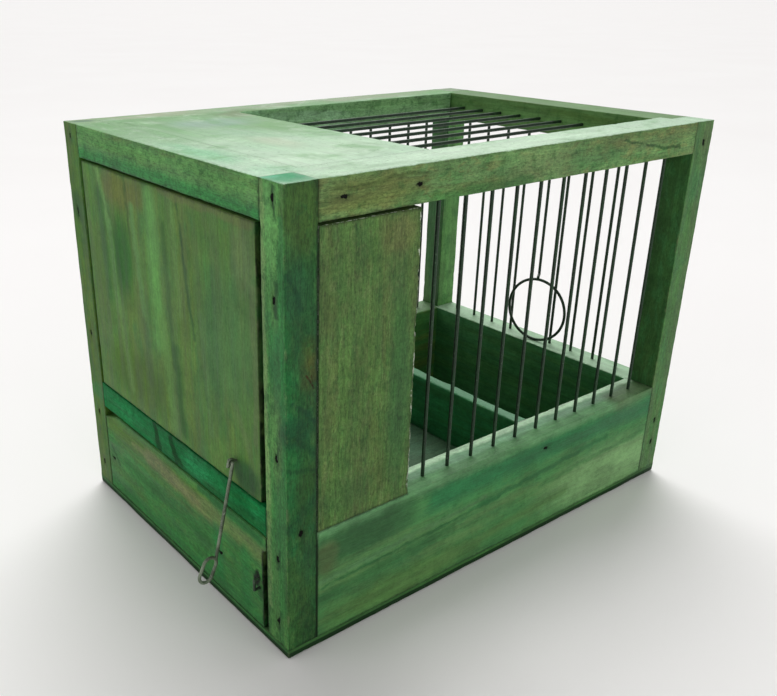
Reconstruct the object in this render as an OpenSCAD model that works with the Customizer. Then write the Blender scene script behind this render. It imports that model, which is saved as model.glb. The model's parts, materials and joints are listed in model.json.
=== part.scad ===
// Canary breeding cage: a stained timber box frame with wire walls,
// a boarded left end, a side door, a slide-out drawer and a wire hook.
// Origin: centre of the underside. +Z up, the wired front faces -Y,
// and the door and drawer are in the left end, at -X.
// All sizes are in millimetres.

/* [Cage] */
// Overall width, left to right
cage_w = 250; // [235:1:320]
// Overall depth, front to back
cage_d = 174; // [150:1:230]
// Overall height, with the base board
cage_h = 190; // [175:1:250]

/* [Frame timber] */
// Side of the square corner posts
post = 14; // [12:0.5:17]
// Height of the four top rails
rail_h = 14.5; // [12:0.5:18]
// Depth of the top rails, seen from above
rail_d = 20; // [18:0.5:26]
// Height of the lower boards' top edge above the ground
board_top = 54.5; // [50:0.5:62]
// Thickness of the lower boards
board_t = 16; // [14:0.5:18]
// Thickness of the base board
base_t = 4; // [3:0.5:6]

/* [Boarded end] */
// Width of the boards that close the left of the front and the back
panel_w = 47.5; // [35:0.5:60]
// Thickness of those boards
panel_t = 10; // [8:0.5:12]
// Gap between those boards and the top rail
panel_gap = 1.1; // [0.6:0.1:2]
// Width of the roof board, from the left rail
roof_w = 62.5; // [45:0.5:80]
// Thickness of the roof board
roof_t = 10; // [9:0.5:12]

/* [Wires] */
// Diameter of the cage wires
wire_d = 1.6; // [1.2:0.1:2]
// Spacing of the wires in the front and the back
front_pitch = 14.8; // [12:0.1:18]
// Spacing of the wires in the right end
side_pitch = 15.1; // [12:0.1:18]
// Distance of that row's middle from the cage's middle, towards the back
side_shift = 1.6; // [0:0.1:3]
// Spacing of the wires in the roof
roof_pitch = 13.8; // [12:0.1:18]
// Gap between the back rail and the roof wire next to it
roof_end_gap = 11.5; // [6:0.1:14]
// Depth of the roof wires below the top
roof_wire_drop = 7.4; // [6:0.1:8]
// Depth of each wire's hole in the timber
wire_seat = 5; // [3:0.5:6]

/* [Feeder ring] */
// Radius of the ring, to the middle of its wire
ring_r = 18.3; // [14:0.1:20]
// Diameter of the ring's wire
ring_wire_d = 1.6; // [1.2:0.1:2]
// Distance of the ring's middle from the cage's middle, towards the front
ring_offset = 4.7; // [0:0.1:6]
// Distance from the ring's middle to the wire that is bent over it
ring_hold = 4; // [3:0.1:6]
// Turn of the ring about the upright, its back edge away from the wires
ring_turn = 8; // [0:1:14]

/* [Divider] */
// Distance from the left end to the divider
divider_x = 147.5; // [135:0.5:160]
// Thickness of the divider
divider_t = 6.5; // [5:0.5:9]

/* [Door] */
// Thickness of the door
door_t = 8; // [7:0.5:9]
// Height of the crossbar below the door
crossbar_h = 13.4; // [10:0.2:17]
// Gap at the door's free edge, which faces the front
door_gap_free = 3.1; // [1.5:0.1:5]
// Gap at the door's pivot edge
door_gap_pivot = 2; // [1.6:0.1:2.6]
// Gap above the door
door_gap_top = 1; // [0.5:0.1:2]
// Gap below the door
door_gap_bottom = 0.5; // [0.3:0.1:1]
// Diameter of the pivot nails
pivot_d = 2; // [1.6:0.1:2.4]
// Length of each pivot nail in the door
pivot_in_door = 8; // [5:0.5:12]
// Length of each pivot nail in the frame
pivot_in_frame = 7; // [5:0.5:9]
// Height of the strip that the door closes against
stop_h = 6; // [4:0.5:9]
// Depth of that strip
stop_t = 6; // [4:0.5:9]

/* [Drawer] */
// Thickness of the drawer's front
drawer_front_t = 8; // [6:0.5:10]
// Height of the drawer floor's top above the ground
drawer_floor_z = 25; // [20:0.5:30]
// Thickness of the drawer's floor
drawer_floor_t = 4; // [3:0.5:5]
// Height of the finger notch's top in the drawer's front
notch_z = 42.3; // [36:0.1:46]
// Width of the runners below the drawer's floor
runner_w = 8; // [5:0.5:12]
// Depth of the cleat that joins the drawer's floor to its front
cleat_d = 10; // [8:0.5:14]
// Height of that cleat
cleat_h = 11; // [8:0.5:12]
// Gap around the drawer, except above it
drawer_gap = 0.5; // [0.3:0.1:0.8]
// Gap above the drawer's front
drawer_gap_top = 0.7; // [0.4:0.1:1.2]

/* [Hook] */
// Distance of the hook from the door's free edge
hook_from_edge = 17.1; // [12:0.1:24]
// Height of the hook's eye above the door's lower edge
hook_above_edge = 11.5; // [8:0.1:18]
// Diameter of the hook's wire
hook_d = 1.4; // [1.2:0.1:1.8]
// Diameter of the wire of the eye
eye_d = 1; // [0.8:0.1:1.2]
// Distance of the eye's middle from the door's face
eye_stand = 2.5; // [2.3:0.1:4]
// Length of the hook's arm, down to its loop
arm_len = 42.4; // [36:0.2:45]
// Width of the hook's loop, to the middle of its wire
loop_w = 5.9; // [4.5:0.1:7]
// Length of the hook's loop, to the middle of its wire
loop_len = 11.2; // [9:0.2:13]
// Distance that the drawer's staple stands out
staple_stand = 2.6; // [2:0.2:4]
// Diameter of the staple's wire
staple_d = 1.2; // [1:0.1:1.5]
// Height of the drawer's staple
staple_h = 4.6; // [4:0.2:8]

/* [Nails] */
// Diameter of the nails
nail_d = 1.4; // [1.2:0.1:1.8]
// Diameter of the nail heads
nail_head_d = 2.6; // [2.2:0.1:3]
// Distance of the corner nails from the corner
nail_inset = 6.5; // [5:0.5:8]

/* [Hidden] */

$fn = 32;

// Running clearance of a pin in its hole, and of a driven nail or wire
run_clear = 0.06;
seat_clear = 0.03;
// Gap between two wires that touch
wire_touch = 0.05;
// Gap between a moving board and the piece that carries or stops it
slide_clear = 0.2;

// Faces of the frame, measured from the left, the front and the ground
post_right_x = cage_w - post;
post_back_y = cage_d - post;
rail_z = cage_h - rail_h;
board_back_y = cage_d - board_t;
board_right_x = cage_w - board_t;
panel_right_x = post + panel_w;
panel_top_z = rail_z - panel_gap;
roof_right_x = rail_d + roof_w;

// The wires stand in the middle of the posts
wire_line = post / 2;
wire_right_x = cage_w - wire_line;
front_count = floor((post_right_x - panel_right_x) / front_pitch);
side_count = floor((post_back_y - post) / side_pitch);
side_first_y = (cage_d - (side_count - 1) * side_pitch) / 2 + side_shift;
roof_last_y = cage_d - rail_d - roof_end_gap;
roof_count = floor((roof_last_y - rail_d) / roof_pitch);
roof_wire_z = cage_h - roof_wire_drop;

// The ring stands on the right board, its front edge against the wires
ring_x = wire_right_x - wire_d / 2 - ring_wire_d / 2 - wire_touch - ring_r * sin(ring_turn);
ring_y = cage_d / 2 - ring_offset;
ring_z = board_top + wire_touch + ring_wire_d / 2 + ring_r;
ring_hold_z = ring_z + ring_r + ring_wire_d / 2 + wire_touch + wire_d / 2;

// Drawer and crossbar
drawer_z0 = base_t + drawer_gap;
drawer_z1 = board_top - 4.8;
crossbar_z0 = drawer_z1 + drawer_gap_top;
crossbar_z1 = crossbar_z0 + crossbar_h;
drawer_y0 = post + door_gap_free;
drawer_y1 = post_back_y - drawer_gap;
drawer_floor_x1 = divider_x - drawer_gap;
drawer_under_z = drawer_floor_z - drawer_floor_t;
notch_slope = 1.5;
worn_len = 14;
worn_h = 4.5;

// Door
door_y0 = post + door_gap_free;
door_y1 = post_back_y - door_gap_pivot;
door_z0 = crossbar_z1 + door_gap_bottom;
door_z1 = rail_z - door_gap_top;
pivot_x = door_t / 2;
swing = door_gap_pivot - slide_clear;
pivot_edge = max(pivot_d + 1, (pow(door_t / 2, 2) - pow(swing, 2)) / (2 * swing));
pivot_y = door_y1 - pivot_edge;
stop_end_y = pivot_y - door_t;

// Hook: the eye's middle, and the bends of the wire that hangs in it
hook_y = door_y0 + hook_from_edge;
hook_z = door_z0 + hook_above_edge;
eye_hole_r = hook_d / 2 + run_clear;
eye_ring_r = eye_hole_r + eye_d / 2;
eye_tail = 5;
arm_gap = 0.2;
arm_side = eye_d / 2 + arm_gap + hook_d / 2;
arm_lean = 13.3;
pin_tail = 3;
loop_lean = 25;
loop_leg = (loop_len - loop_w) / 2;
bend_swell = 0.04;

// A point of the hook, swung away from the cage about the pin
function leant(p, angle) = [
  p.x * cos(angle) + p.z * sin(angle), p.y, p.z * cos(angle) - p.x * sin(angle)];
staple_y = drawer_y0 + 2.6;
staple_mid_z = drawer_floor_z + 0.5;
staple_depth = 6;

// Nails
nail_sink = 0.2;
nail_head_t = 0.7;
nail_bite = 8;
base_nail_bite = 6;
rail_nail_drop = 5.5;
rail_nail_low_drop = 10;
panel_nail_drop = 25;
panel_nail_rise = 34;
board_nail_drop = 10;
board_nail_rise = 11;
end_nail_drop = 21.5;
end_nail_rise = 16;
divider_nail_drop = 8;
roof_nail_drop = 7.2;
roof_nail_left = 5;
roof_nail_right = 23;
drawer_nail_front = 33;
drawer_nail_back = 5;

rail_nail_z = cage_h - rail_nail_drop;
rail_nail_low_z = cage_h - rail_nail_low_drop;
panel_nail_high_z = panel_top_z - panel_nail_drop;
panel_nail_low_z = board_top + panel_nail_rise;
board_nail_high_z = board_top - board_nail_drop;
board_nail_low_z = base_t + board_nail_rise;
end_nail_high_z = board_top - end_nail_drop;
end_nail_low_z = base_t + end_nail_rise;
crossbar_nail_z = (crossbar_z0 + crossbar_z1) / 2;
roof_nail_z = cage_h - roof_nail_drop;
roof_nails_x = [rail_d + roof_nail_left, roof_right_x - roof_nail_right];
divider_nail_z = board_top - divider_nail_drop;
drawer_nails_y = [drawer_y0 + drawer_nail_front, drawer_y1 - drawer_nail_back];

// Colours as the photograph shows them
stain_dark = [0.16, 0.33, 0.20];
stain_green = [0.27, 0.44, 0.25];
stain_olive = [0.38, 0.44, 0.24];
stain_bright = [0.13, 0.44, 0.28];
stain_pale = [0.62, 0.78, 0.58];
floor_grey = [0.30, 0.36, 0.32];
steel = [0.22, 0.22, 0.21];
rust = [0.14, 0.12, 0.10];

// Moves a piece from the cage's left front lower corner to the origin
module in_cage() {
  translate([-cage_w / 2, -cage_d / 2, 0]) children();
}

// A box from its lowest to its highest corner
module block(low, high) {
  translate(low) cube(high - low);
}

// A round wire from one point to another
module rod(from, to, d) {
  run = to - from;
  translate(from)
    rotate([0, acos(run.z / norm(run)), atan2(run.y, run.x)])
      cylinder(d = d, h = norm(run));
}

// A round wire along a list of points, rounded at each bend between them
module bent_wire(points, d) {
  last = len(points) - 1;
  for (k = [1:last])
    rod(points[k - 1], points[k], d);
  for (k = [1:last - 1])
    translate(points[k]) sphere(d = d + bend_swell);
}

// Copies a piece to the back wall
module at_back() {
  translate([0, cage_d, 0]) mirror([0, 1, 0]) children();
}

// A nail that points down, its head just under the surface at z = 0.
// With slack above 0 it is the hole that the nail fills.
module nail(len, slack = 0) {
  open = slack > 0 ? nail_sink + 1 : 0;
  translate([0, 0, -nail_sink - nail_head_t - slack])
    cylinder(d = nail_head_d + 2 * slack, h = nail_head_t + slack + open);
  translate([0, 0, -nail_sink - len - slack])
    cylinder(d = nail_d + 2 * slack, h = len);
}

module nails_from_left(slack = 0) {
  for (y = [nail_inset, cage_d - nail_inset])
    for (z = [rail_nail_z, panel_nail_high_z, panel_nail_low_z, board_nail_high_z, board_nail_low_z])
      translate([0, y, z]) rotate([0, -90, 0]) nail(post + nail_bite, slack);
}

module nails_from_right(slack = 0) {
  for (y = [nail_inset, cage_d - nail_inset])
    for (z = [rail_nail_z, board_nail_high_z, board_nail_low_z])
      translate([cage_w, y, z]) rotate([0, 90, 0]) nail(post + nail_bite, slack);
}

module nails_from_front(slack = 0) {
  translate([nail_inset, 0, crossbar_nail_z]) rotate([90, 0, 0]) nail(post + nail_bite, slack);
  for (z = [rail_nail_low_z, end_nail_high_z, end_nail_low_z])
    translate([cage_w - nail_inset, 0, z]) rotate([90, 0, 0]) nail(post + nail_bite, slack);
  for (x = roof_nails_x)
    translate([x, 0, roof_nail_z]) rotate([90, 0, 0]) nail(rail_d + nail_bite, slack);
  translate([divider_x + divider_t / 2, 0, divider_nail_z]) rotate([90, 0, 0])
    nail(board_t + nail_bite, slack);
}

module nails_from_back(slack = 0) {
  at_back() nails_from_front(slack);
}

module nails_from_below(slack = 0) {
  for (x = [nail_inset, cage_w - nail_inset])
    for (y = [nail_inset, cage_d - nail_inset])
      translate([x, y, 0]) rotate([180, 0, 0]) nail(base_t + base_nail_bite, slack);
}

// Cuts every nail hole of the frame out of a piece of timber
module nailed() {
  difference() {
    children();
    nails_from_left(seat_clear);
    nails_from_right(seat_clear);
    nails_from_front(seat_clear);
    nails_from_back(seat_clear);
    nails_from_below(seat_clear);
  }
}

// Upright wires of the front; hole is the clearance of their holes
module upright_wires(hole = 0) {
  for (k = [1:front_count])
    translate([panel_right_x + k * front_pitch, wire_line, board_top - wire_seat - hole])
      cylinder(d = wire_d + 2 * hole, h = rail_z - board_top + 2 * (wire_seat + hole));
}

// Upright wires of the right end. The one above the ring is bent over it.
module end_wires(hole = 0) {
  for (k = [0:side_count - 1]) {
    y = side_first_y + k * side_pitch;
    top = rail_z + wire_seat + hole;
    low = board_top - wire_seat - hole;
    if (abs(y - ring_y) > side_pitch / 2)
      rod([wire_right_x, y, low], [wire_right_x, y, top], wire_d + 2 * hole);
    else
      bent_wire([[wire_right_x, ring_y + ring_hold, top],
                 [wire_right_x, ring_y + ring_hold, ring_hold_z],
                 [ring_x - wire_d, ring_y, ring_hold_z]], wire_d + 2 * hole);
  }
}

module long_wires(hole = 0) {
  for (k = [0:roof_count])
    translate([roof_right_x - wire_seat - hole, roof_last_y - k * roof_pitch, roof_wire_z])
      rotate([0, 90, 0])
        cylinder(d = wire_d + 2 * hole, h = cage_w - rail_d - roof_right_x + 2 * (wire_seat + hole));
}

module pivot_nails(hole = 0) {
  for (z = [[door_z0 + pivot_in_door, crossbar_z1 - pivot_in_frame],
            [door_z1 - pivot_in_door, rail_z + pivot_in_frame]])
    translate([pivot_x, pivot_y, min(z) - hole])
      cylinder(d = pivot_d + 2 * hole, h = max(z) - min(z) + 2 * hole);
}

module drawer_floor_nails(slack = 0) {
  for (y = drawer_nails_y)
    translate([0, y, drawer_floor_z - drawer_floor_t / 2]) rotate([0, -90, 0])
      nail(drawer_front_t + nail_bite, slack);
}

// The wire staple in the drawer's front, or the holes of its two legs
module staple(hole = 0) {
  low = [staple_depth + hole, staple_y, staple_mid_z - staple_h / 2];
  high = [staple_depth + hole, staple_y, staple_mid_z + staple_h / 2];
  out = [-staple_stand - staple_depth - hole, 0, 0];
  bent_wire([low, low + out, high + out, high], staple_d + 2 * hole);
}

// ---- Frame ----

module base_board() {
  color(stain_dark) in_cage()
    nailed() block([0, 0, 0], [cage_w, cage_d, base_t]);
}

module corner_post(x, y) {
  nailed() block([x, y, base_t], [x + post, y + post, cage_h]);
}

module post_front_left() {
  color(stain_dark) in_cage() corner_post(0, 0);
}

module post_front_right() {
  color(stain_green) in_cage() corner_post(post_right_x, 0);
}

module post_back_left() {
  color(stain_olive) in_cage() corner_post(0, post_back_y);
}

module post_back_right() {
  color(stain_green) in_cage() corner_post(post_right_x, post_back_y);
}

module front_rail() {
  block([post, 0, rail_z], [post_right_x, rail_d, cage_h]);
}

module top_rail_front() {
  color(stain_olive) in_cage() difference() {
    nailed() front_rail();
    upright_wires(seat_clear);
  }
}

module top_rail_back() {
  color(stain_green) in_cage() difference() {
    nailed() at_back() front_rail();
    at_back() upright_wires(seat_clear);
  }
}

// A side piece between the posts, cut round the front and back pieces
module side_piece(depth, front_depth, z0, z1) {
  translate([0, 0, z0])
    linear_extrude(z1 - z0)
      polygon([[0, post], [post, post], [post, front_depth], [depth, front_depth],
               [depth, cage_d - front_depth], [post, cage_d - front_depth],
               [post, post_back_y], [0, post_back_y]]);
}

module top_rail_left() {
  color(stain_green) in_cage() difference() {
    nailed() side_piece(rail_d, rail_d, rail_z, cage_h);
    pivot_nails(seat_clear);
  }
}

module top_rail_right() {
  color(stain_green) in_cage() difference() {
    nailed() translate([cage_w, 0, 0]) mirror([1, 0, 0]) side_piece(rail_d, rail_d, rail_z, cage_h);
    end_wires(seat_clear);
    long_wires(seat_clear);
  }
}

module front_board() {
  block([post, 0, base_t], [post_right_x, board_t, board_top]);
}

module lower_board_front() {
  color(stain_green) in_cage() difference() {
    nailed() front_board();
    upright_wires(seat_clear);
  }
}

module lower_board_back() {
  color(stain_green) in_cage() difference() {
    nailed() at_back() front_board();
    at_back() upright_wires(seat_clear);
  }
}

module lower_board_right() {
  color(stain_green) in_cage() difference() {
    nailed() translate([cage_w, 0, 0]) mirror([1, 0, 0]) side_piece(board_t, board_t, base_t, board_top);
    end_wires(seat_clear);
  }
}

module divider() {
  color(stain_bright) in_cage()
    nailed() block([divider_x, board_t, base_t], [divider_x + divider_t, board_back_y, board_top]);
}

module crossbar() {
  color(stain_bright) in_cage() difference() {
    nailed() block([0, post, crossbar_z0], [post, post_back_y, crossbar_z1]);
    pivot_nails(seat_clear);
  }
}

module roof_board() {
  color(stain_pale) in_cage() difference() {
    nailed() block([rail_d, rail_d, cage_h - roof_t], [roof_right_x, cage_d - rail_d, cage_h]);
    long_wires(seat_clear);
  }
}

module end_panel() {
  block([post, 0, board_top], [panel_right_x, panel_t, panel_top_z]);
}

module front_panel() {
  color(stain_olive) in_cage() nailed() end_panel();
}

module back_panel() {
  color(stain_olive) in_cage() nailed() at_back() end_panel();
}

module runner() {
  block([post, board_t, base_t], [divider_x, board_t + runner_w, drawer_under_z - slide_clear]);
}

module runner_front() {
  color(stain_dark) in_cage() runner();
}

module runner_back() {
  color(stain_dark) in_cage() at_back() runner();
}

module door_stop() {
  color(stain_dark) in_cage()
    block([door_t + slide_clear, rail_d, rail_z - stop_h],
          [door_t + slide_clear + stop_t, stop_end_y, rail_z]);
}

// ---- Wires ----

module front_wires() {
  color(steel) in_cage() upright_wires();
}

module back_wires() {
  color(steel) in_cage() at_back() upright_wires();
}

module right_wires() {
  color(steel) in_cage() end_wires();
}

module roof_wires() {
  color(steel) in_cage() long_wires();
}

module feeder_ring() {
  color(steel) in_cage()
    translate([ring_x, ring_y, ring_z]) rotate([0, 90, ring_turn])
      rotate_extrude($fn = 64) translate([ring_r, 0]) circle(d = ring_wire_d);
}

// ---- Nails ----

module door_pivots() {
  color(rust) in_cage() pivot_nails();
}

module nails_left() {
  color(rust) in_cage() nails_from_left();
}

module nails_right() {
  color(rust) in_cage() nails_from_right();
}

module nails_front() {
  color(rust) in_cage() nails_from_front();
}

module nails_back() {
  color(rust) in_cage() nails_from_back();
}

module nails_base() {
  color(rust) in_cage() nails_from_below();
}

// ---- Door and hook ----

module door_panel() {
  color(stain_olive) in_cage() difference() {
    block([0, door_y0, door_z0], [door_t, door_y1, door_z1]);
    pivot_nails(run_clear);
    translate([-1, hook_y, hook_z]) rotate([0, 90, 0])
      cylinder(d = eye_d + 2 * run_clear, h = door_t + 2);
  }
}

// An eye of wire. Its shank goes through the door and is turned down behind it.
module hook_eye() {
  tail_x = door_t + slide_clear + eye_d / 2;
  color(steel) in_cage() {
    translate([-eye_stand, hook_y, hook_z]) rotate([90, 0, 0])
      rotate_extrude() translate([eye_ring_r, 0]) circle(d = eye_d);
    bent_wire([[-eye_stand + eye_ring_r, hook_y, hook_z], [tail_x, hook_y, hook_z],
               [tail_x, hook_y, hook_z - eye_tail]], eye_d);
  }
}

// A long closed loop of wire, upright, with its middle at the origin
module wire_loop() {
  for (up = [0, 180])
    rotate([0, up, 0]) {
      translate([0, 0, loop_leg]) rotate([90, 0, 0])
        rotate_extrude(angle = 180) translate([loop_w / 2, 0]) circle(d = hook_d);
      translate([loop_w / 2, 0, -loop_leg]) cylinder(d = hook_d, h = 2 * loop_leg);
    }
}

// The hook's wire is bent twice through the eye, so that it hangs on its pin,
// then runs down to a long loop
module hook_wire() {
  arm_end = leant([0, -arm_side, -arm_len], arm_lean);
  loop_join = [loop_w / 2 * cos(45), 0, loop_leg + loop_w / 2 * sin(45)];
  color(steel) in_cage() translate([-eye_stand, hook_y, hook_z]) {
    bent_wire([leant([0, arm_side, -pin_tail], arm_lean), [0, arm_side, 0],
               [0, -arm_side, 0], arm_end], hook_d);
    translate(arm_end) rotate([0, loop_lean, 0]) translate(-loop_join) wire_loop();
  }
}

// ---- Drawer ----

// The front's corners are hand cut: a finger notch below the ear at its front
// end, and a worn corner at its back end.
module drawer_front() {
  ear_y = post + drawer_gap;
  color(stain_green) in_cage() difference() {
    rotate([90, 0, 90])
      linear_extrude(drawer_front_t)
        polygon([[drawer_y0, drawer_z0], [drawer_y1, drawer_z0],
                 [drawer_y1, drawer_z1 - worn_h], [drawer_y1 - worn_len, drawer_z1],
                 [ear_y, drawer_z1], [ear_y, notch_z + notch_slope], [drawer_y0, notch_z]]);
    drawer_floor_nails(seat_clear);
    staple(seat_clear);
  }
}

module drawer_floor() {
  color(floor_grey) in_cage() difference() {
    block([drawer_front_t, board_t + drawer_gap, drawer_under_z],
          [drawer_floor_x1, board_back_y - drawer_gap, drawer_floor_z]);
    drawer_floor_nails(seat_clear);
  }
}

module drawer_cleat() {
  side = board_t + runner_w + 2;
  color(stain_dark) in_cage()
    block([drawer_front_t, side, drawer_under_z - cleat_h],
          [drawer_front_t + cleat_d, cage_d - side, drawer_under_z]);
}

module drawer_staple() {
  color(steel) in_cage() staple();
}

module drawer_nails() {
  color(rust) in_cage() drawer_floor_nails();
}

base_board();
post_front_left();
post_front_right();
post_back_left();
post_back_right();
top_rail_front();
top_rail_back();
top_rail_left();
top_rail_right();
lower_board_front();
lower_board_back();
lower_board_right();
divider();
crossbar();
roof_board();
front_panel();
back_panel();
runner_front();
runner_back();
door_stop();
front_wires();
back_wires();
right_wires();
roof_wires();
feeder_ring();
door_pivots();
nails_left();
nails_right();
nails_front();
nails_back();
nails_base();
door_panel();
hook_eye();
hook_wire();
drawer_front();
drawer_floor();
drawer_cleat();
drawer_staple();
drawer_nails();
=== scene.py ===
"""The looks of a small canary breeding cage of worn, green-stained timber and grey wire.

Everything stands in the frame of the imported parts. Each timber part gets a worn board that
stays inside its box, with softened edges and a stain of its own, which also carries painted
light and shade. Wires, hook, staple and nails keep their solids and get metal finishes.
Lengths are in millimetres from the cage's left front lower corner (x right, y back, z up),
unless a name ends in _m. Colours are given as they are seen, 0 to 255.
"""
import json
import math

import bpy
from mathutils import Matrix, Vector, noise

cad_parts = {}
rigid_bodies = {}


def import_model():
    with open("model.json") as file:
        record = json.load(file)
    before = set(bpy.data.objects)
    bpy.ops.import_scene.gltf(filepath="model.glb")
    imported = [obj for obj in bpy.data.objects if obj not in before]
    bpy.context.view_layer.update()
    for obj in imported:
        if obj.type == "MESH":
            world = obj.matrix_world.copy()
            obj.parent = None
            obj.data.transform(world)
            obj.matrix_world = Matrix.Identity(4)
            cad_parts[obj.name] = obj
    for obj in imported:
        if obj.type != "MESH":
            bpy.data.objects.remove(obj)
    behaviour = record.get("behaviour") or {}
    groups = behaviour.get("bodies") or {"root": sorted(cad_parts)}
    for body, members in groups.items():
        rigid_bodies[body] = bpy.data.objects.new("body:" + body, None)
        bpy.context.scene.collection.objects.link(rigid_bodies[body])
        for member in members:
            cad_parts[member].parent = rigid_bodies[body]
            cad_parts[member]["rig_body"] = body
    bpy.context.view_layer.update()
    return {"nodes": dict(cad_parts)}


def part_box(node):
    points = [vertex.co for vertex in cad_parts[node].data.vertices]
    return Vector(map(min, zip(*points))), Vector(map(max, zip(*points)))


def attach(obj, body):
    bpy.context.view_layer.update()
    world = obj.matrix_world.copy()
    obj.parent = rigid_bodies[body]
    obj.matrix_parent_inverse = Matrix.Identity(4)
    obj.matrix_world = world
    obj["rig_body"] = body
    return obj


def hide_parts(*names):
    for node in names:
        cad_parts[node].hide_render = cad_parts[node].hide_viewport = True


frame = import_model()
NODES = frame["nodes"]
MM = 0.001
WIDTH, DEPTH, HEIGHT = 250.0, 174.0, 190.0      # of the whole cage
POST, RAIL = 14.0, 20.0                         # a post's width and a top rail's depth
CORNER = Vector((WIDTH / 2, DEPTH / 2, 0.0))    # the part's origin, seen from the corner
AXES = range(3)


def srgb(colour):
    """A colour as it is seen, as the linear colour that shaders use."""
    def lin(v):
        v /= 255.0
        return v / 12.92 if v <= 0.04045 else ((v + 0.055) / 1.055) ** 2.4
    return tuple(lin(v) for v in colour) + (1.0,)


# ---------------------------------------------------------------- camera and light

# the camera that was fitted to the photograph
CAMERA_AT_M = (-0.2834769, -0.3114950, 0.2466040)
CAMERA_TURN = Matrix(((0.793907, 0.240455, -0.558474),
                      (-0.608023, 0.320653, -0.726285),
                      (0.004437, 0.916168, 0.400770)))

scene = bpy.context.scene
scene.view_settings.view_transform = "Standard"


def add_object(name, data):
    """Adds an object to the scene."""
    obj = bpy.data.objects.new(name, data)
    scene.collection.objects.link(obj)
    return obj


camera = add_object("camera", bpy.data.cameras.new("camera"))
camera.matrix_world = Matrix.Translation(CAMERA_AT_M) @ CAMERA_TURN.to_4x4()
camera.data.sensor_width = 36.0
camera.data.sensor_fit = "HORIZONTAL"
camera.data.lens = 40.569846
camera.data.shift_x = 0.0905864
camera.data.shift_y = 0.0283745
camera.data.clip_start = 0.01
scene.camera = camera

world = bpy.data.worlds.new("studio")
scene.world = world
world.use_nodes = True
sky = world.node_tree.nodes
links = world.node_tree.links
sky["Background"].inputs["Color"].default_value = (1.0, 0.99, 0.985, 1.0)
direction = sky.new("ShaderNodeTexCoord")
height = sky.new("ShaderNodeSeparateXYZ")
fade = sky.new("ShaderNodeMapRange")                # paler near the floor's far edge
fade.interpolation_type = "SMOOTHSTEP"
fade.inputs["From Min"].default_value = -0.02
fade.inputs["From Max"].default_value = 0.30
fade.inputs["To Min"].default_value = 0.88
fade.inputs["To Max"].default_value = 0.42
links.new(direction.outputs["Generated"], height.inputs[0])
links.new(height.outputs["Z"], fade.inputs["Value"])
links.new(fade.outputs[0], sky["Background"].inputs["Strength"])


def point_along(obj, way):
    """Turns a light so that it shines this way."""
    obj.rotation_euler = Vector(way).to_track_quat("-Z", "Y").to_euler()


def soft_light(name, at_m, aim_m, size_m, power):
    """A large square studio light that is never seen itself."""
    data = bpy.data.lights.new(name, "AREA")
    data.shape = "SQUARE"
    data.size = size_m
    data.energy = power
    obj = add_object(name, data)
    obj.location = at_m
    point_along(obj, Vector(aim_m) - Vector(at_m))
    obj.visible_camera = False


def far_light(name, way, strength, angle):
    """A far, very soft light, which lights the whole floor evenly."""
    data = bpy.data.lights.new(name, "SUN")
    data.energy = strength
    data.angle = math.radians(angle)
    point_along(add_object(name, data), way)


far_light("light_above_back", (-0.50, -0.72, -0.95), strength=2.3, angle=50.0)
soft_light("light_left", (-1.5, 0.35, 0.8), (0, 0, 0.1), size_m=1.2, power=4.2)
soft_light("light_front", (0.15, -1.6, 0.7), (0, 0, 0.1), size_m=1.2, power=4.2)


# ---------------------------------------------------------------- shader writing

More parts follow.
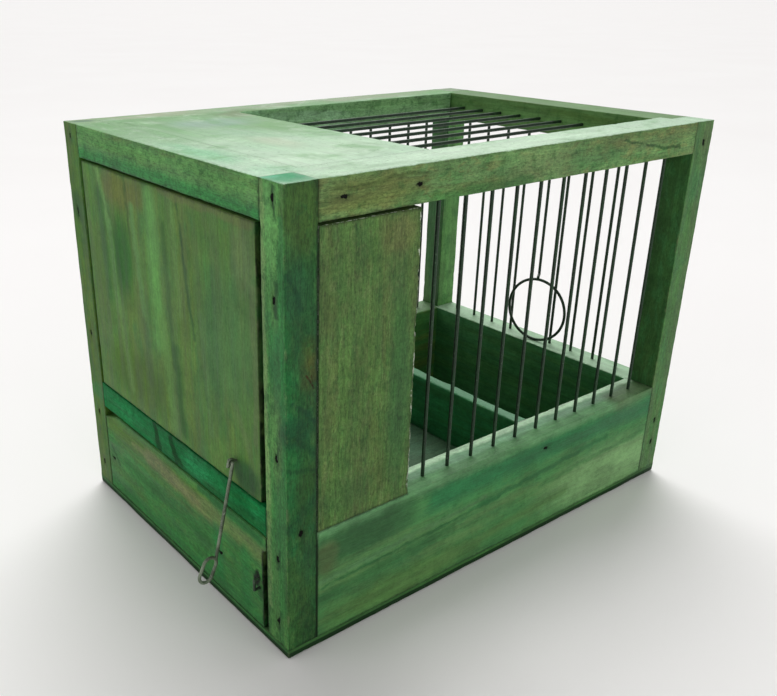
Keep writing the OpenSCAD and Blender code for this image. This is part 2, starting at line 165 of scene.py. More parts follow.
class Net:
    """A material being written. Each call adds a node and returns its result."""

    FINE_STROKE = 0.6           # a stroke of at most this half width is a scratch or a seam
    A, B, MIXED = 6, 7, 2       # a Mix node's sockets for colours
    # how far a noise is shifted along x, y and z, by the seed and by the number of its call
    SHIFTS = ((3.17, 5.3), (1.91, 2.7), (2.53, 7.1))

    def __init__(self, name, seed, grain="x"):
        self.mat = bpy.data.materials.new(name)
        self.mat.use_nodes = True
        self.tree = self.mat.node_tree
        self.tree.nodes.clear()
        self.seed = seed
        self.calls = 0                  # noises so far
        self.grain = grain
        out = self.add("ShaderNodeOutputMaterial")
        self.bsdf = self.add("ShaderNodeBsdfPrincipled")
        self.put(out.inputs[0], self.bsdf.outputs[0])
        coord = self.add("ShaderNodeTexCoord")
        to_mm = self.add("ShaderNodeMapping")
        self.put(to_mm.inputs["Vector"], coord.outputs["Object"])
        self.put(to_mm.inputs["Location"], CORNER)
        self.put(to_mm.inputs["Scale"], (1000.0, 1000.0, 1000.0))
        self.p = to_mm.outputs[0]
        self.loose = self.p             # where patches and strokes lie
        self.xyz = self.split(self.p)
        self.facing = self.split(coord.outputs["Normal"])

    def add(self, kind):
        return self.tree.nodes.new(kind)

    def put(self, socket, value):
        """Links a result to a socket, or sets the socket to a number or a colour."""
        if isinstance(value, bpy.types.NodeSocket):
            self.tree.links.new(value, socket)
        else:
            socket.default_value = value

    def split(self, vector):
        node = self.add("ShaderNodeSeparateXYZ")
        self.put(node.inputs[0], vector)
        return list(node.outputs)

    def math(self, op, a, b, c=0.0, clamp=False):
        node = self.add("ShaderNodeMath")
        node.operation = op
        node.use_clamp = clamp
        for socket, value in zip(node.inputs, (a, b, c)):
            self.put(socket, value)
        return node.outputs[0]

    def mul(self, a, b):
        return self.math("MULTIPLY", a, b)

    def without(self, share):
        """What is left of 1 when this share is taken away."""
        return self.math("SUBTRACT", 1.0, share)

    def span(self, value, low, high, to_low=0.0, to_high=1.0):
        """Smoothly from to_low, where value is at low, to to_high, where it is at high."""
        node = self.add("ShaderNodeMapRange")
        node.interpolation_type = "SMOOTHSTEP"
        for socket, v in zip(node.inputs, (value, low, high, to_low, to_high)):
            self.put(socket, v)
        return node.outputs[0]

    def sway(self, cloud, least, most):
        """From least to most over the range that a noise mostly has."""
        return self.span(cloud, 0.3, 0.7, least, most)

    def mix(self, factor, a, b):
        node = self.add("ShaderNodeMix")
        node.data_type = "RGBA"
        self.put(node.inputs[0], factor)
        self.put(node.inputs[self.A], a)
        self.put(node.inputs[self.B], b)
        return node.outputs[self.MIXED]

    def paint(self, colour, mask, amount, tint):
        """The colour with this share of the tint over it, where the mask is 1."""
        return self.mix(self.mul(mask, amount), colour, tint)

    def noise(self, size, detail=2.0, rough=0.55, warp=0.0):
        """Noise of one size of grain, or of three along x, y and z, that no other call has.

        detail, rough and warp are what the texture calls detail, roughness and distortion.
        """
        self.calls += 1
        sizes = size if hasattr(size, "__len__") else (size,) * 3
        place = self.add("ShaderNodeMapping")
        self.put(place.inputs["Vector"], self.p)
        self.put(place.inputs["Scale"], [1.0 / s for s in sizes])
        self.put(place.inputs["Location"], [
            self.seed * by_seed + self.calls * by_call for by_seed, by_call in self.SHIFTS])
        node = self.add("ShaderNodeTexNoise")
        self.put(node.inputs["Vector"], place.outputs[0])
        self.put(node.inputs["Scale"], 1.0)
        self.put(node.inputs["Detail"], detail)
        self.put(node.inputs["Roughness"], rough)
        self.put(node.inputs["Distortion"], warp)
        return node.outputs["Fac"]

    def streaky(self, length, across, *how):
        """Noise that is drawn out along the wood's grain."""
        return self.noise([length if axis == self.grain else across for axis in "xyz"], *how)

    def vector(self, op, a, b=(0.0, 0.0, 0.0), result="Vector"):
        node = self.add("ShaderNodeVectorMath")
        node.operation = op
        self.put(node.inputs[0], a)
        self.put(node.inputs[1], b)
        return node.outputs[result]

    def scaled(self, vector, factor):
        node = self.add("ShaderNodeVectorMath")
        node.operation = "SCALE"
        self.put(node.inputs[0], vector)
        self.put(node.inputs["Scale"], factor)
        return node.outputs[0]

    def loosen(self, size, amount):
        """From now on patches and strokes wander by this amount, as brushed stain does."""
        cloud = self.noise(size, 3.0).node.outputs["Color"]
        shift = self.vector("MULTIPLY", self.vector("SUBTRACT", cloud, (0.5, 0.5, 0.5)),
                            (amount, amount, amount))
        self.loose = self.vector("ADD", self.p, shift)

    def fading(self, distance, limit, soft):
        """1 well inside the limit, 0 outside it. The larger soft is, the softer the edge."""
        return self.span(distance, limit * (1.0 + soft * 0.4), limit * (1.0 - soft * 0.6))

    def spot(self, at, radii, soft=0.9):
        """1 in the middle of an oval patch, 0 outside it."""
        away = self.vector("DIVIDE", self.vector("SUBTRACT", self.loose, at), radii)
        return self.fading(self.vector("LENGTH", away, result="Value"), 1.0, soft)

    def stroke(self, start, end, half, soft=0.8):
        """1 along a brush stroke from start to end, 0 outside it."""
        start, end = Vector(start), Vector(end)
        way = end - start
        place = self.p if half <= self.FINE_STROKE else self.loose
        from_start = self.vector("SUBTRACT", place, start)
        along = self.math("DIVIDE", self.vector("DOT_PRODUCT", from_start, way, "Value"),
                          way.length_squared, clamp=True)
        off = self.vector("SUBTRACT", from_start, self.scaled(way, along))
        return self.fading(self.vector("LENGTH", off, result="Value"), half, soft)

    def measured(self, name):
        """A distance in millimetres that the board's mesh carries at each point."""
        node = self.add("ShaderNodeAttribute")
        node.attribute_name = name
        return node.outputs["Fac"]

    def bump(self, height, depth_m, strength):
        node = self.add("ShaderNodeBump")
        self.put(node.inputs["Strength"], strength)
        self.put(node.inputs["Distance"], depth_m)
        self.put(node.inputs["Height"], height)
        self.put(self.bsdf.inputs["Normal"], node.outputs[0])


# ---------------------------------------------------------------- timber finish: stain, with painted light and shade

GREEN = (74, 122, 66)
OLIVE = (96, 116, 62)
TEAL = (34, 112, 62)
DEEP = (44, 88, 50)
DARK = (26, 54, 30)
RUBBED = (128, 140, 100)        # where the stain is rubbed off along the edges
BARE = (206, 216, 196)          # pale wood where the front panel was torn


def richer(colour):
    """The linear colour that a stain needs to be seen as the given one in pale light."""
    r, g, b, a = colour
    return (max(0.0, r * 0.97 - 0.006), g * 1.06, max(0.0, b * 0.95 - 0.007), a)


def deep(colour):
    """The same for a colour as it is seen."""
    return richer(srgb(colour))


# the pale top, painted sheen and light from above with stain patches in it: its colour at the
# front and at the back, and patches on it, each as centre (x, y), radii, colour and share
SHEEN_COAT_FRONT = (176, 207, 177)
SHEEN_COAT_BACK = (114, 162, 106)
SHEEN_COAT_SEED = 50.0
SHEEN_COAT_REACH = 40.0               # how far down and up each patch reaches
SHEEN_COAT = (
    ((24, 142), (18, 22), (112, 158, 104), 0.8),
    ((72, 112), (15, 26), (106, 156, 94), 0.85),
    ((52, 130), (20, 15), (134, 166, 148), 0.75),
    ((46, 98), (14, 18), (146, 184, 150), 0.6),
    ((8, 62), (9, 30), (120, 190, 140), 0.65),
    ((18, 112), (9, 24), (128, 172, 124), 0.6),
    ((30, 32), (24, 15), (194, 220, 192), 0.7),
    ((62, 46), (22, 18), (184, 212, 180), 0.6),
    ((27, 82), (13, 12), (162, 196, 160), 0.7),
    ((44, 70), (7, 14), (184, 196, 168), 0.6),
    ((40, 166), (40, 8), (158, 166, 134), 0.8),
    ((150, 167), (80, 8), (158, 166, 142), 0.7),
    ((84, 150), (18, 12), (104, 118, 74), 0.7),
    ((120, 9), (110, 10), (200, 226, 198), 0.8),
    ((9, 20), (9, 8), (158, 206, 170), 0.6),
    ((33, 12), (10, 6), (168, 200, 166), 0.6),
)


def top_sheen_coat(net):
    """The colour of the pale top: painted sheen and light from above, with stain patches. It
    runs on over the joints between the top's boards.
    """
    kept = net.seed, net.calls, net.loose
    net.seed, net.calls = SHEEN_COAT_SEED, 0          # the same noise on every board
    net.loosen(30.0, 24.0)
    colour = net.mix(net.span(net.xyz[1], 36.0, 150.0), srgb(SHEEN_COAT_FRONT), srgb(SHEEN_COAT_BACK))
    for (x, y), (rx, ry), tint, amount in SHEEN_COAT:
        spot = net.spot((x, y, HEIGHT), (rx, ry, SHEEN_COAT_REACH), soft=1.3)
        colour = net.paint(colour, spot, amount, srgb(tint))
    for size, detail, rough, warp, low, high, amount, tint in (
            (15.0, 5.0, 0.62, 0.5, 0.5, 0.72, 0.4, (196, 220, 194)),
            (19.0, 5.0, 0.62, 0.5, 0.5, 0.7, 0.6, (114, 166, 108)),
            (1.8, 3.0, 0.7, 0.0, 0.6, 0.68, 0.45, (96, 142, 100))):
        cloud = net.noise(size, detail, rough, warp)
        colour = net.mix(net.span(cloud, low, high, 0.0, amount), colour, srgb(tint))
    net.seed, net.calls, net.loose = kept
    return colour


def streaks(net, main, second, dark, second_share, dark_share, broad):
    """Broad wandering streaks of the second colour in the main one, and narrow dark ones."""
    wide = net.streaky(95.0 * broad, 8.0 * broad, 3.0, 0.6, 0.35)
    mask = net.span(wide, 0.62 - 0.3 * second_share, 0.82 - 0.42 * second_share, 0.0, 0.9)
    colour = net.mix(mask, main, second)
    narrow = net.streaky(55.0 * broad, 3.4 * broad, 3.0, 0.62, 0.6)
    mask = net.span(narrow, 0.72 - 0.3 * dark_share, 0.95 - 0.35 * dark_share)
    return net.paint(colour, mask, 0.8, dark)


def marks(net, colour, faces, blots, patches, strokes):
    """Colours for the sides that look one way, mostly painted light or shade, and the blots,
    patches and brush strokes over them.
    """
    for axis, sign, tint, amount in faces:
        towards = net.span(net.mul(net.facing[axis], float(sign)), 0.55, 0.85)
        cloud = net.span(net.noise(18.0, 3.0, 0.6), 0.2, 0.5, 0.8, 1.0)
        colour = net.paint(colour, net.mul(towards, cloud), amount, deep(tint))
    for across, tint, amount in blots:
        cloud = net.streaky(across * 2.2, across, 4.0, 0.62, 0.4)
        colour = net.mix(net.span(cloud, 0.48, 0.64, 0.0, amount), colour, deep(tint))
    for at, radii, tint, amount in patches:
        colour = net.paint(colour, net.spot(at, radii), amount, deep(tint))
    for start, end, half, tint, amount, *soft in strokes:
        colour = net.paint(colour, net.stroke(start, end, half, *soft), amount, deep(tint))
    return colour


def grain_light(net, fibre, speckle):
    """How light the wood is along its grain, and the relief of its fibres and flecks."""
    drift = net.streaky(60.0, 6.0, 3.0, 0.6)
    cloudy = net.noise(13.0, 4.0, 0.6)
    band = net.streaky(26.0, 1.9, 3.0, 0.62)
    fine = net.streaky(16.0, 0.6, 2.0, 0.6)
    flecks = net.streaky(2.6, 0.6, 3.0, 0.75, 0.5)
    specks = net.noise(1.3, 4.0, 0.8)
    value = net.sway(drift, 0.84, 1.14)
    for part in (net.sway(cloudy, 0.88, 1.12),
                 net.sway(band, 1.0 - 0.12 * fibre, 1.0 + 0.11 * fibre),
                 net.sway(fine, 1.0 - 0.08 * fibre, 1.0 + 0.07 * fibre),
                 net.span(flecks, 0.44, 0.66, 1.0 + 0.08 * speckle, 1.0 - 0.36 * speckle),
                 net.span(specks, 0.34, 0.66, 1.0 + 0.12 * speckle, 1.0 - 0.22 * speckle)):
        value = net.mul(value, part)
    net.put(net.bsdf.inputs["Roughness"], net.sway(drift, 0.52, 0.72))
    relief = net.math("MULTIPLY_ADD", fine, 0.5, net.mul(band, 0.4))
    relief = net.math("MULTIPLY_ADD", flecks, -0.35, relief)
    net.bump(relief, depth_m=0.0004, strength=0.6)
    return value


def top_side(net, colour, value, up, top, tops):
    """The top's colour, painted paler for the light from above, and its patches, with less light
    and dark in it.
    """
    if top == "coat":
        colour = net.mix(up, colour, top_sheen_coat(net))
        calm = net.mul(up, 0.6)
    else:
        cloud = net.span(net.streaky(40.0, 14.0, 4.0, 0.65), 0.25, 0.6, 0.62, 1.0)
        colour = net.paint(colour, net.mul(up, cloud), 0.9, srgb(top))
        calm = net.mul(up, 0.5)
    for at, radii, tint, amount in tops:
        mask = net.mul(net.mul(net.spot(at, radii), amount), up)
        colour = net.mix(mask, colour, srgb(tint))
    return colour, net.math("ADD", net.mul(value, net.without(calm)), calm)


def joint_shade_and_nail_stain(net, value, ragged, up, dirt):
    """Painted shade in the joints and narrow gaps, less of it on the top, and dark stain round
    the nails.
    """
    joint = net.math("MULTIPLY_ADD", ragged, 2.4, net.measured("joint_mm"))
    in_joints = net.span(joint, 2.6, 0.9, 0.0, dirt)
    if up is not None:
        in_joints = net.mul(in_joints, net.without(net.mul(up, 0.85)))
    value = net.mul(value, net.without(in_joints))
    splits = net.streaky(4.0, 0.9, 3.0, 0.7)
    around = net.math("MULTIPLY_ADD", splits, 3.4, net.measured("nail_mm"))
    value = net.mul(value, net.span(around, 2.1, 3.1, 0.08, 1.0))
    return net.mul(value, net.span(around, 2.8, 5.6, 0.8, 1.0))


def worn_edges(net, colour, ragged, up, main):
    """Stain rubbed off along the free edges, and the sides' stain over the top's edge."""
    rim = net.measured("rim_mm")
    worn = net.noise(8.0, 5.0, 0.7)
    rub = net.mul(net.span(rim, 1.1, 0.1), net.span(worn, 0.5, 0.66))
    colour = net.paint(colour, rub, 0.32, srgb(RUBBED))
    if up is not None:
        over = net.mul(net.mul(up, net.span(rim, 1.7, 0.2)), net.span(ragged, 0.44, 0.6))
        colour = net.paint(colour, over, 0.6, richer(main))
    return colour


def torn_edges(net, colour, value, amount):
    """Pale bare wood that reaches in unevenly from the free edges."""
    chips = net.streaky(5.5, 1.5, 4.0, 0.72)
    reach = net.math("MULTIPLY_ADD", chips, -8.0, net.measured("rim_mm"))
    value = net.mul(value, net.span(reach, -1.6, -3.2, 1.0, 0.72))
    return net.paint(colour, net.span(reach, -3.6, -4.1), amount, srgb(BARE)), value


def stain(name, grain, main, second, dark, seed, second_share=0.5, dark_share=0.3, top=None,
          tops=(), broad=1.0, fibre=1.0, speckle=0.5, mottle=0.35, dirt=0.6, shade=1.0,
          gloss=0.2, torn=0.0, blots=(), patches=(), strokes=(), faces=()):
    """A worn green stain on one timber part, with painted light and shade in it.

    grain is the axis that the fibres run along. main, second and dark are mixed in streaks
    of the size broad, and mottle is how much more dark lies in spots. faces: (axis, sign,
    colour, share) for the side that looks that way, mostly painted light or shade on that side.
    blots: (size, colour, share). patches: (centre, radii, colour, share). strokes: (start, end,
    half width, colour, share, softness). top is the colour of the top side, painted paler for
    the light from above, or the name of the pale top with its painted sheen, and tops are
    patches on it. fibre and speckle are the strength of the fibres and of the specks, the
    joints' argument that of the painted shade in the joints and gaps, and torn that of the pale
    wood along the free edges. shade makes all of it lighter, and gloss is its shine.

    The board's mesh carries joint_mm, rim_mm and nail_mm: how far a point is from the
    nearest edge that meets another board, from the nearest free edge and from the nearest
    nail.
    """
    net = Net(name, seed, grain)
    net.loosen(9.0, 5.0)
    main, second, dark = deep(main), deep(second), deep(dark)
    colour = streaks(net, main, second, dark, second_share, dark_share, broad)
    # each side's painted light or shade, then the blots, patches and strokes
    colour = marks(net, colour, faces, blots, patches, strokes)
    spots = net.noise(4.2, 4.0, 0.72)
    colour = net.mix(net.span(spots, 0.5, 0.66, 0.0, mottle), colour, dark)
    value = grain_light(net, fibre, speckle)
    up = net.span(net.facing[2], 0.5, 0.9) if top else None
    # the top side: painted light from above, or the pale top with its painted sheen
    if top:
        colour, value = top_side(net, colour, value, up, top, tops)
    ragged = net.noise(2.4, 3.0, 0.68)
    # painted shade in the joints and gaps, and dark stain round the nails
    value = joint_shade_and_nail_stain(net, value, ragged, up, dirt)
    colour = worn_edges(net, colour, ragged, up, main)
    if torn:
        colour, value = torn_edges(net, colour, value, torn)
    net.put(net.bsdf.inputs["Base Color"], net.scaled(colour, net.mul(value, shade)))
    net.put(net.bsdf.inputs["Specular IOR Level"], gloss)
    return net.mat


# ---------------------------------------------------------------- worn boards

NAIL_GAP = 3.0              # nails of one node are further apart than this
HEAD_WIDE, HEAD_THICK = 2.0, 0.3            # no head is smaller
HEAD_REACH = 1.0            # a head this near to a board's side lies in that side
RECESS = ((0.8, 0.8), (1.1, 0.3))           # radius and depth of its middle and its rim
SPLIT_ALONG, SPLIT_ACROSS = 0.62, 1.3       # the recess is longer along the grain
NEAR_END = (0.0, 0.12, 0.3, 0.55, 0.9, 1.5)     # the mesh's lines near a board's ends
END_CLEAR = 1.6             # no line for a nail is nearer to a board's end
NEAR_HEAD = (-1.9, -1.3, -1.0, -0.7, -0.35, 0, 0.35, 0.7, 1.0, 1.3, 1.9)    # and by a head
FAR = 9.0                   # stands for any distance that is too long to matter
EDGE_REACH = 6.0            # edges further away than this don't matter
BOARD_REACH = 3.0           # nor do boards further away than this
TOUCHING, CLOSE = 0.5, 2.3  # how far past an edge another board is looked for
NUDGE = 0.5                 # and how far it has to lie inside or outside the face
ROUND_LEAST, ROUND_MOST = 0.03, 1.5         # limits of an edge's radius
ROUND_SHARE = 0.45          # nor is it more than this share of the board's thickness
FLUSH_TOP, FLUSH = 0.03, 0.14               # its radius where two boards meet
SAME, SLACK = 1e-6, 1e-3    # positions this close are one, and this close touch
LINE_GAP = 0.3              # the mesh's even lines keep this far from a nail's lines
RELIEF = 0.07               # depth of the waves along the grain
WAVE_LONG, WAVE_SHORT = 28.0, 3.0           # their length along and across the grain


def nail_heads():
    """(centre, axis) of each nail's head, found in the nails' own solids."""
    heads = []
    for name, obj in NODES.items():
        if "nails" not in name:
            continue
        groups = []
        for v in obj.data.vertices:
            p = Vector(v.co) / MM + CORNER
            for group in groups:
                low, high = group
                if all(low[a] - NAIL_GAP < p[a] < high[a] + NAIL_GAP for a in AXES):
                    group[0] = [min(low[a], p[a]) for a in AXES]
                    group[1] = [max(high[a], p[a]) for a in AXES]
                    break
            else:
                groups.append([list(p), list(p)])
        for low, high in groups:
            span = [high[a] - low[a] for a in AXES]
            if max(span) > HEAD_WIDE and min(span) > HEAD_THICK:
                heads.append(((Vector(low) + Vector(high)) / 2, span.index(min(span))))
    return heads


HEADS = nail_heads()
TIMBER = [name for name, obj in NODES.items()
          if obj.data.materials[0].name.split(".")[0] in ("stained_timber", "drawer_timber")]
BOXES = {node: [Vector([c / MM for c in corner]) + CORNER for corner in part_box(node)]
         for node in TIMBER}


def steps(low, high, pitch, extra):
    """Positions along one side of a board, close together near its ends and its nails."""
    end = NEAR_END[-1]
    lines = [low + n for n in NEAR_END] + [high - n for n in NEAR_END]
    length = high - low - 2 * end
    count = max(1, round(length / pitch))
    middle = [low + end + length * k / count for k in range(1, count)]
    lines += [m for m in middle if all(abs(m - e) > LINE_GAP for e in extra)]
    lines += [e for e in extra if low + END_CLEAR < e < high - END_CLEAR]
    return sorted(lines)


def sides(low, high):
    """(axis, direction, position) of each side of a box."""
    return [(a, way, wall) for a in AXES for way, wall in ((-1, low[a]), (1, high[a]))]


def edge_distances(p, walls, others):
    """From a point of a box to its nearest touching, nearly touching and free edge."""
    touch = close = free = FAR

    def meets(face, out, axis, edge):
        """Is there another board past this edge, just inside or outside this face?"""
        q = p.copy()
        q[axis] = edge
        for nudge in (-NUDGE, NUDGE):
            q[face] = p[face] + out * nudge
            if any(all(lo[a] <= q[a] <= hi[a] for a in AXES) for lo, hi in others):
                return True
        return False

    for face, out, wall in walls:
        if abs(p[face] - wall) > SAME:
            continue
        for axis, way, bound in walls:
            away = abs(p[axis] - bound)
            if axis == face or away > EDGE_REACH:
                continue
            if meets(face, out, axis, bound + way * TOUCHING):
                touch = min(touch, away)
                close = min(close, away)
            elif meets(face, out, axis, bound + way * CLOSE):
                close = min(close, away)
            else:
                free = min(free, away)
    return touch, close, free


def board(node, material, seed, grain, wear, chips, pitch, shape, more):
    """A board that stands for a timber node: its box, with uneven worn edges and faces.

    wear is how much its edges are rounded, chips how much is chipped off them, and pitch
    how far apart the mesh's lines across x, y and z are. more adds such lines, each as
    (axis, position), and shape moves the points, for a board that isn't a plain box.
    """
    low, high = BOXES[node]
    walls = sides(low, high)
    heads = [(centre, axis) for centre, axis in HEADS
             if all(low[a] - SLACK < centre[a] < high[a] + SLACK for a in AXES)
             and min(centre[axis] - low[axis], high[axis] - centre[axis]) < HEAD_REACH]
    extra = [{v for a, v in more if a == b} | {c[b] + d for c, a in heads if a != b
                                               for d in NEAR_HEAD} for b in AXES]
    lines = [steps(low[a], high[a], pitch[a], sorted(extra[a])) for a in AXES]
    others = [box for name, box in BOXES.items() if name != node and all(
        box[0][a] < high[a] + BOARD_REACH and box[1][a] > low[a] - BOARD_REACH
        for a in AXES)]
    thin = min(high[a] - low[a] for a in AXES)
    shift = Vector((seed * 13.7, seed * 7.3, seed * 3.1))       # its own place in the noise
    stretch = Vector([1.0 / (WAVE_LONG if axis == grain else WAVE_SHORT) for axis in "xyz"])

    def worn_down(p, touch):
        """Rounds and chips the edges, and lays shallow waves along the grain."""
        q = p + shift
        r = 0.25 + wear * (0.5 + 0.8 * noise.noise(q / 14.0))
        chip = noise.noise(q / 3.3) + 0.5 * noise.noise(q / 1.4)
        r += chips * max(0.0, chip - 0.25) * 1.6
        flush = FLUSH_TOP if high[2] - p[2] < SAME else FLUSH
        r = flush + (r - flush) * min(1.0, touch / 3.0)
        r = max(ROUND_LEAST, min(r, ROUND_MOST, ROUND_SHARE * thin))
        inner = Vector([min(max(p[a], low[a] + r), high[a] - r) for a in AXES])
        out = p - inner
        length = max(out.length, 1e-9)
        stretched = Vector([q[a] * stretch[a] for a in AXES])
        dip = RELIEF * (0.5 + 0.5 * noise.noise(stretched) + 0.4 * noise.noise(q / 21.0))
        return (inner + out * (min(length, r) / length)
                - out / length * max(0.02, dip * min(1.0, touch / 1.5)))

    def nailed(p, worn):
        """Sinks the heads' recesses, and returns how far the nearest head is."""
        nearest = FAR
        for centre, axis in heads:
            at_low = centre[axis] - low[axis] < HEAD_REACH
            wall = low[axis] if at_low else high[axis]
            if abs(p[axis] - wall) > SAME:
                continue
            away = math.hypot(*[
                (p[a] - centre[a]) * (SPLIT_ALONG if "xyz"[a] == grain else SPLIT_ACROSS)
                for a in AXES if a != axis])
            away += 0.7 * noise.noise((p + shift) / 1.1)
            nearest = min(nearest, max(0.0, away))
            for radius, depth in RECESS:
                if away < radius:
                    worn[axis] = wall + (depth if at_low else -depth)
                    break
        return nearest

    points, index = [], {}
    measures = {"joint_mm": [], "rim_mm": [], "nail_mm": []}

    def point(key):
        """The number of the mesh's point where these three lines cross."""
        if key not in index:
            index[key] = len(points)
            p = Vector([lines[a][key[a]] for a in AXES])
            touch, close, free = edge_distances(p, walls, others)
            worn = worn_down(p, touch)
            nearest = nailed(p, worn)
            if shape:
                worn = Vector(shape(worn))
            points.append((worn - CORNER) * MM)
            for values, value in zip(measures.values(), (close, free, nearest)):
                values.append(value)
        return index[key]

    quads = []
    n = [len(line) - 1 for line in lines]
    for a, b, c in ((0, 1, 2), (1, 2, 0), (2, 0, 1)):
        for end in (0, n[c]):
            for u in range(n[a]):
                for v in range(n[b]):
                    quad = []
                    for du, dv in ((0, 0), (1, 0), (1, 1), (0, 1)):
                        key = [0, 0, 0]
                        key[a], key[b], key[c] = u + du, v + dv, end
                        quad.append(point(tuple(key)))
                    quads.append(quad if end else quad[::-1])
    mesh = bpy.data.meshes.new(node + "_worn")
    mesh.from_pydata(points, [], quads)
    mesh.polygons.foreach_set("use_smooth", [True] * len(mesh.polygons))
    for name, values in measures.items():
        mesh.attributes.new(name, "FLOAT", "POINT").data.foreach_set("value", values)
    mesh.materials.append(material)
    obj = add_object(node + "_worn", mesh)
    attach(obj, NODES[node]["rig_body"])
    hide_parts(node)


def narrower_ends(p):
    """A side rail is cut back to the posts' width beside the front and the back rail."""
    x, y, z = p
    if not RAIL <= y <= DEPTH - RAIL:
        x = x * POST / RAIL if x < WIDTH / 2 else WIDTH - (WIDTH - x) * POST / RAIL
    return x, y, z


CUT_LINES = [(1, cut + away) for cut in (RAIL, DEPTH - RAIL) for away in (-0.02, 0.02)]

DRAWER_TOP = 49.7               # the drawer front's top
FRONT_END = 17.1                # its front end below the ear
EAR_END, EAR = 14.5, 2.6        # the ear's end, and how far it stands out
EAR_FOOT, EAR_ROUND = 42.3, 1.5             # its lower edge, and how softly that turns
WORN_FROM, WORN_DOWN = 145.5, 4.5           # where the back corner's wear starts, its depth
EASE = 14.0                     # the length over which these changes fade out


def drawer_outline(p):
    """The drawer's front: its ear at the front of the top, and the worn back corner."""
    x, y, z = p
    above_foot = min(1.0, max(0.0, (z - EAR_FOOT) / EAR_ROUND))
    end = FRONT_END - EAR * above_foot
    y += (end - EAR_END) * max(0.0, 1.0 - (y - EAR_END) / EASE)
    top = DRAWER_TOP - WORN_DOWN * max(0.0, (y - WORN_FROM) / EASE)
    z += (top - DRAWER_TOP) * max(0.0, 1.0 - (DRAWER_TOP - z) / EASE)
    return x, y, z


TORN_FROM, TORN_WIDE = 57.0, 4.5            # the strip that the tear bends


def torn_side(p):
    """The front panel's right side was split off roughly along the grain."""
    x, y, z = p
    share = min(1.0, max(0.0, (x - TORN_FROM) / TORN_WIDE))
    rough = noise.noise(Vector((3.1, 0.4 * y, z / 1.3))) + noise.noise(Vector((7.7, 0, z / 4.5)))
    depth = 0.12 + 0.75 * max(0.0, rough) * (1.0 if y < 5 else 0.4)
    return x - share * depth, y, z


def timber(node, grain, main, second, dark, seed, wear=0.6, chips=0.5, pitch=(2.2, 2.2, 2.2),
           shape=None, more=(), **finish):
    """A timber node's worn board, with a stain of its own that carries painted light and shade.
    """
    material = stain(node + "_stain_and_light", grain, main, second, dark, seed, **finish)
    board(node, material, seed, grain, wear, chips, pitch, shape, more)


# corner posts
timber("post_front_left", "z", (70, 120, 66), (84, 128, 72), DEEP, 1.0,
       second_share=0.6, dark_share=0.45, mottle=0.6, speckle=1.0, top="coat",
       blots=[(5.0, (42, 96, 62), 0.5), (3.0, (92, 124, 74), 0.3)],
       # the front side darker: painted shade
       faces=[(1, -1, (40, 76, 42), 0.95)],
       patches=[((0, 5, 128), (9, 5, 16), TEAL, 0.7), ((0, 6, 62), (9, 4, 16), TEAL, 0.4),
                ((0, 2, 160), (9, 3, 18), TEAL, 0.5), ((0, 1, 105), (9, 2, 60), TEAL, 0.6),
                ((0, 8, 174), (9, 8, 18), (102, 155, 91), 0.8),
                ((0, 8, 30), (9, 8, 24), (78, 124, 70), 0.5),
                ((7, 0, 180), (10, 6, 15), (66, 90, 46), 0.85),
                ((5, 0, 154), (8, 6, 11), (42, 84, 56), 0.75),
                ((11, 0, 142), (5, 6, 9), (40, 80, 52), 0.6),
                ((5, 0, 101), (9, 6, 7), (30, 72, 50), 0.8),
                ((9, 0, 78), (6, 6, 9), (52, 84, 46), 0.6),
                ((4, 0, 28), (7, 6, 18), (60, 92, 50), 0.7),
                ((11, 0, 44), (4, 6, 12), (44, 84, 54), 0.6)],
       strokes=[((10, 0, 133), (9, 0, 119), 3.2, (78, 82, 44), 0.5, 1.7),
                ((11.5, 0, 127), (12, 0, 121), 2.0, (94, 84, 46), 0.45, 1.7),
                ((8.9, 0, 121.8), (10.6, 0, 119.4), 0.45, (66, 26, 18), 0.95, 1.2),
                ((10.6, 0, 119.4), (12.3, 0, 116.2), 0.4, (52, 24, 18), 0.95, 1.2),
                ((11.2, 0, 121.4), (11.6, 0, 118.6), 0.25, (60, 34, 22), 0.8, 1.2),
                ((1, 0, 160), (7, 0, 146), 1.2, (26, 60, 44), 0.7, 1.4),
                ((3, 0, 112), (13, 0, 103), 1.1, (26, 60, 46), 0.7, 1.4),
                ((1, 0, 100), (13, 0, 90), 1.5, (28, 64, 44), 0.75, 1.4),
                ((1, 0, 86), (13, 0, 82), 1.2, (30, 66, 42), 0.6, 1.4),
                ((1, 0, 60), (13, 0, 70), 2.4, (34, 72, 48), 0.6, 1.4),
                ((2, 0, 16), (12, 0, 26), 2.0, (44, 78, 46), 0.6, 1.4),
                # the dark line along the seam to the front boards is painted shade in the gap
                ((13.8, 0, 4), (13.8, 0, 175), 0.4, (16, 40, 20), 0.8, 1.3),
                ((0, 12.6, 190), (0, 12.4, 20), 1.5, (112, 138, 90), 0.8, 1.2),
                ((0, 2, 178), (0, 3, 140), 1.8, (52, 118, 66), 0.6),
                ((0, 8, 112), (0, 7, 84), 3.0, (86, 132, 74), 0.7),
                ((0, 3, 80), (0, 4, 20), 2.4, (50, 108, 60), 0.6),
                ((0, 6, 188), (0, 5, 178), 1.0, (30, 66, 40), 0.75, 1.4),
                ((0, 5, 156), (0, 5, 144), 1.1, (26, 62, 38), 0.8, 1.4),
                ((0, 5, 94), (0, 6, 84), 0.9, (26, 62, 38), 0.75, 1.4),
                ((0, 5, 49), (0, 6, 40), 0.9, (30, 66, 40), 0.7, 1.4),
                ((0, 5, 20), (0, 6, 11), 0.9, (30, 66, 40), 0.7, 1.4)],
       tops=[((7.6, 8.4, 190), (9.8, 8.4, 9), (24, 146, 92), 0.92),
             ((3, 12, 190), (4, 3, 9), (96, 190, 146), 0.6)])
